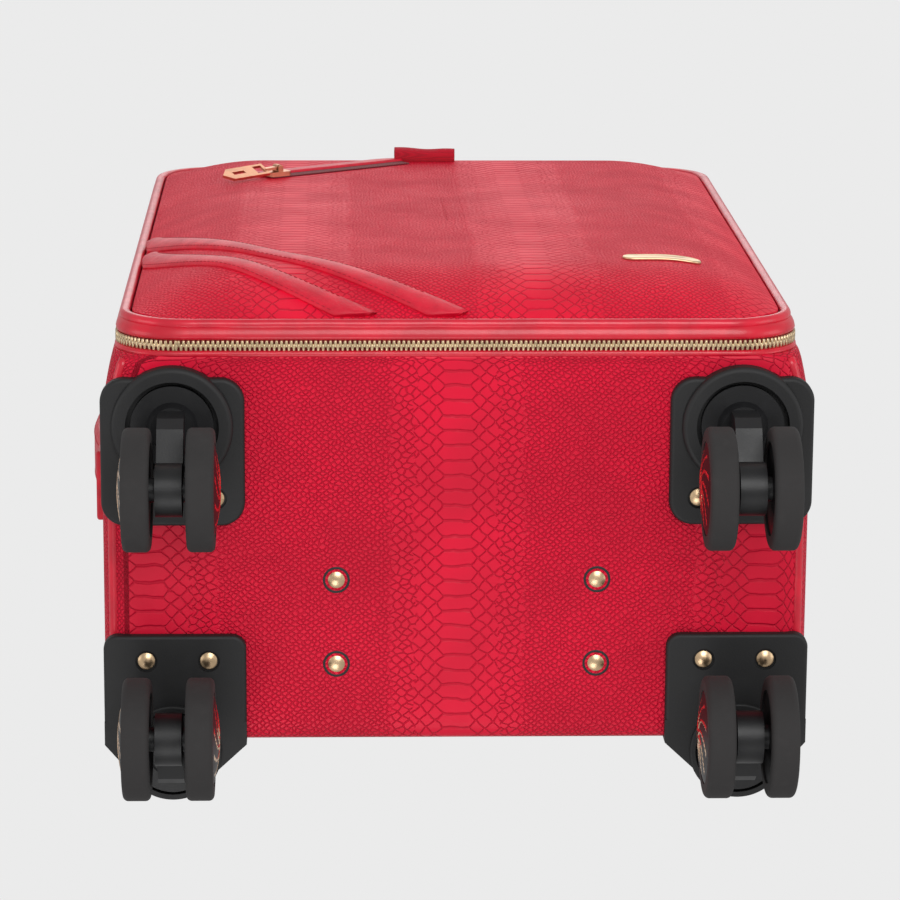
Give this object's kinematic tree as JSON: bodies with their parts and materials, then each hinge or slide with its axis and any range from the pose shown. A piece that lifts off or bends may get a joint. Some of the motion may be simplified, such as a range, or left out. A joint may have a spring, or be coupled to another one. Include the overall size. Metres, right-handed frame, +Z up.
{
  "type": "suitcase",
  "caption": "Upright cabin suitcase with a zip-around hinged lid, padded front pocket, telescopic handle, carry straps and swivelling casters, in embossed leatherette.",
  "frame": {"origin": "middle of the whole object's footprint, on the floor plane under the wheels", "axes": "+Z up with the case standing on its casters, lid and front pocket towards -Y, +X to the right seen from the front"},
  "size_m": [0.37, 0.2654, 0.579],
  "materials": {
    "embossed_leather": "snakeskin-embossed satin",
    "patent_leather": "patent gloss",
    "smooth_leather": "smooth satin",
    "case_board": "matt",
    "lining_fabric": "woven",
    "zip_tape": "woven tape",
    "gold_metal": "polished",
    "caster_plastic": "satin",
    "tyre_rubber": "matt",
    "rose_gold_cap": "metallised, polished",
    "tube_aluminium": "brushed, dark anodised",
    "grip_plastic": "fine texture"
  },
  "bodies": {
    "case": {"body_board": "case_board", "bottom_cover": "embossed_leather", "back_cover": "embossed_leather", "side_and_top_cover": "embossed_leather", "body_piping": "patent_leather", "body_lining": "lining_fabric", "zip_gusset": "patent_leather", "main_zip_body_row": "zip_tape", "bottom_screws": "gold_metal", "trolley_outer_tubes": "tube_aluminium", "trolley_feet": "caster_plastic", "trolley_cup": "caster_plastic", "handle_brackets": "caster_plastic", "front_left_housing": "caster_plastic", "front_right_housing": "caster_plastic", "rear_left_housing": "caster_plastic", "rear_right_housing": "caster_plastic"},
    "lid": {"front_panel": "embossed_leather", "lid_board": "case_board", "lid_lining": "lining_fabric", "lid_rim": "patent_leather", "lid_piping": "patent_leather", "main_zip_lid_row": "zip_tape", "pocket_zip": "zip_tape", "corner_bands": "smooth_leather", "badge_plate": "gold_metal", "pull_tab": "smooth_leather"},
    "pocket_slider": {"pocket_slider": "gold_metal"},
    "pocket_puller": {"pocket_puller": "gold_metal"},
    "main_slider_left": {"main_slider_left": "gold_metal"},
    "main_puller_left": {"main_puller_left": "gold_metal"},
    "main_slider_right": {"main_slider_right": "gold_metal"},
    "main_puller_right": {"main_puller_right": "gold_metal"},
    "trolley_middle": {"trolley_middle_tubes": "tube_aluminium"},
    "trolley_upper": {"trolley_inner_tubes": "tube_aluminium", "trolley_grip": "grip_plastic"},
    "trolley_button": {"trolley_button": "grip_plastic"},
    "side_handle": {"side_handle": "smooth_leather"},
    "top_handle": {"top_handle": "smooth_leather"},
    "front_left_caster": {"front_left_fork": "caster_plastic"},
    "front_left_wheel_a": {"front_left_tyre_a": "tyre_rubber", "front_left_hub_a": "rose_gold_cap"},
    "front_left_wheel_b": {"front_left_tyre_b": "tyre_rubber", "front_left_hub_b": "rose_gold_cap"},
    "front_right_caster": {"front_right_fork": "caster_plastic"},
    "front_right_wheel_a": {"front_right_tyre_a": "tyre_rubber", "front_right_hub_a": "rose_gold_cap"},
    "front_right_wheel_b": {"front_right_tyre_b": "tyre_rubber", "front_right_hub_b": "rose_gold_cap"},
    "rear_left_caster": {"rear_left_fork": "caster_plastic"},
    "rear_left_wheel_a": {"rear_left_tyre_a": "tyre_rubber", "rear_left_hub_a": "rose_gold_cap"},
    "rear_left_wheel_b": {"rear_left_tyre_b": "tyre_rubber", "rear_left_hub_b": "rose_gold_cap"},
    "rear_right_caster": {"rear_right_fork": "caster_plastic"},
    "rear_right_wheel_a": {"rear_right_tyre_a": "tyre_rubber", "rear_right_hub_a": "rose_gold_cap"},
    "rear_right_wheel_b": {"rear_right_tyre_b": "tyre_rubber", "rear_right_hub_b": "rose_gold_cap"}
  },
  "joints": [
    {"name": "lid_hinge", "type": "hinge", "parent": "case", "child": "lid", "pos_m": [-0.1603, -0.09875, 0.32], "axis": [0, 0, -1], "range_deg": [0, 115]},
    {"name": "front_left_swivel", "type": "hinge", "parent": "case", "child": "front_left_caster", "pos_m": [-0.1315, -0.05925, 0.075], "axis": [0, 0, 1], "continuous": true},
    {"name": "front_left_wheel_a_roll", "type": "hinge", "parent": "front_left_caster", "child": "front_left_wheel_a", "pos_m": [-0.1315, -0.03825, 0.03], "axis": [1, 0, 0], "continuous": true},
    {"name": "front_left_wheel_b_roll", "type": "hinge", "parent": "front_left_caster", "child": "front_left_wheel_b", "pos_m": [-0.1315, -0.03825, 0.03], "axis": [1, 0, 0], "continuous": true},
    {"name": "front_right_swivel", "type": "hinge", "parent": "case", "child": "front_right_caster", "pos_m": [0.1495, -0.05925, 0.075], "axis": [0, 0, 1], "continuous": true},
    {"name": "front_right_wheel_a_roll", "type": "hinge", "parent": "front_right_caster", "child": "front_right_wheel_a", "pos_m": [0.1495, -0.03825, 0.03], "axis": [1, 0, 0], "continuous": true},
    {"name": "front_right_wheel_b_roll", "type": "hinge", "parent": "front_right_caster", "child": "front_right_wheel_b", "pos_m": [0.1495, -0.03825, 0.03], "axis": [1, 0, 0], "continuous": true},
    {"name": "rear_left_swivel", "type": "hinge", "parent": "case", "child": "rear_left_caster", "pos_m": [-0.133, 0.10825, 0.075], "axis": [0, 0, 1], "continuous": true},
    {"name": "rear_left_wheel_a_roll", "type": "hinge", "parent": "rear_left_caster", "child": "rear_left_wheel_a", "pos_m": [-0.133, 0.08725, 0.03], "axis": [1, 0, 0], "continuous": true},
    {"name": "rear_left_wheel_b_roll", "type": "hinge", "parent": "rear_left_caster", "child": "rear_left_wheel_b", "pos_m": [-0.133, 0.08725, 0.03], "axis": [1, 0, 0], "continuous": true},
    {"name": "rear_right_swivel", "type": "hinge", "parent": "case", "child": "rear_right_caster", "pos_m": [0.151, 0.10825, 0.075], "axis": [0, 0, 1], "continuous": true},
    {"name": "rear_right_wheel_a_roll", "type": "hinge", "parent": "rear_right_caster", "child": "rear_right_wheel_a", "pos_m": [0.151, 0.08725, 0.03], "axis": [1, 0, 0], "continuous": true},
    {"name": "rear_right_wheel_b_roll", "type": "hinge", "parent": "rear_right_caster", "child": "rear_right_wheel_b", "pos_m": [0.151, 0.08725, 0.03], "axis": [1, 0, 0], "continuous": true},
    {"name": "trolley_lower_stage", "type": "slide", "parent": "case", "child": "trolley_middle", "axis": [0, 0, 1], "range_m": [0, 0.215]},
    {"name": "trolley_upper_stage", "type": "slide", "parent": "trolley_middle", "child": "trolley_upper", "axis": [0, 0, 1], "range_m": [0, 0.215]},
    {"name": "trolley_button_press", "type": "slide", "parent": "trolley_upper", "child": "trolley_button", "axis": [0, 0, -1], "range_m": [0, 0.003], "stiffness_N_per_m": 500, "springref_m": -0.002},
    {"name": "top_handle_lift", "type": "slide", "parent": "case", "child": "top_handle", "axis": [0, 0, 1], "range_m": [0, 0.0035], "stiffness_N_per_m": 400, "springref_m": -0.001},
    {"name": "side_handle_lift", "type": "slide", "parent": "case", "child": "side_handle", "axis": [-1, 0, 0], "range_m": [0, 0.0035], "stiffness_N_per_m": 400, "springref_m": -0.001},
    {"name": "pocket_slider_run", "type": "slide", "parent": "lid", "child": "pocket_slider", "axis": [0.8284, 0, 0.5601], "range_m": [0, 0.074]},
    {"name": "pocket_puller_flip", "type": "hinge", "parent": "pocket_slider", "child": "pocket_puller", "pos_m": [-0.084, -0.12935, 0.443], "axis": [-0.5601, 0, 0.8284], "range_deg": [0, 150]},
    {"name": "main_slider_left_run", "type": "slide", "parent": "case", "child": "main_slider_left", "axis": [1, 0, 0], "range_m": [-0.06, 0]},
    {"name": "main_puller_left_flip", "type": "hinge", "parent": "main_slider_left", "child": "main_puller_left", "pos_m": [-0.011, -0.09875, 0.5654], "axis": [0, 1, 0], "range_deg": [0, 150]},
    {"name": "main_slider_right_run", "type": "slide", "parent": "case", "child": "main_slider_right", "axis": [1, 0, 0], "range_m": [0, 0.07]},
    {"name": "main_puller_right_flip", "type": "hinge", "parent": "main_slider_right", "child": "main_puller_right", "pos_m": [0.049, -0.09875, 0.5654], "axis": [0, 1, 0], "range_deg": [0, 150]}
  ]
}
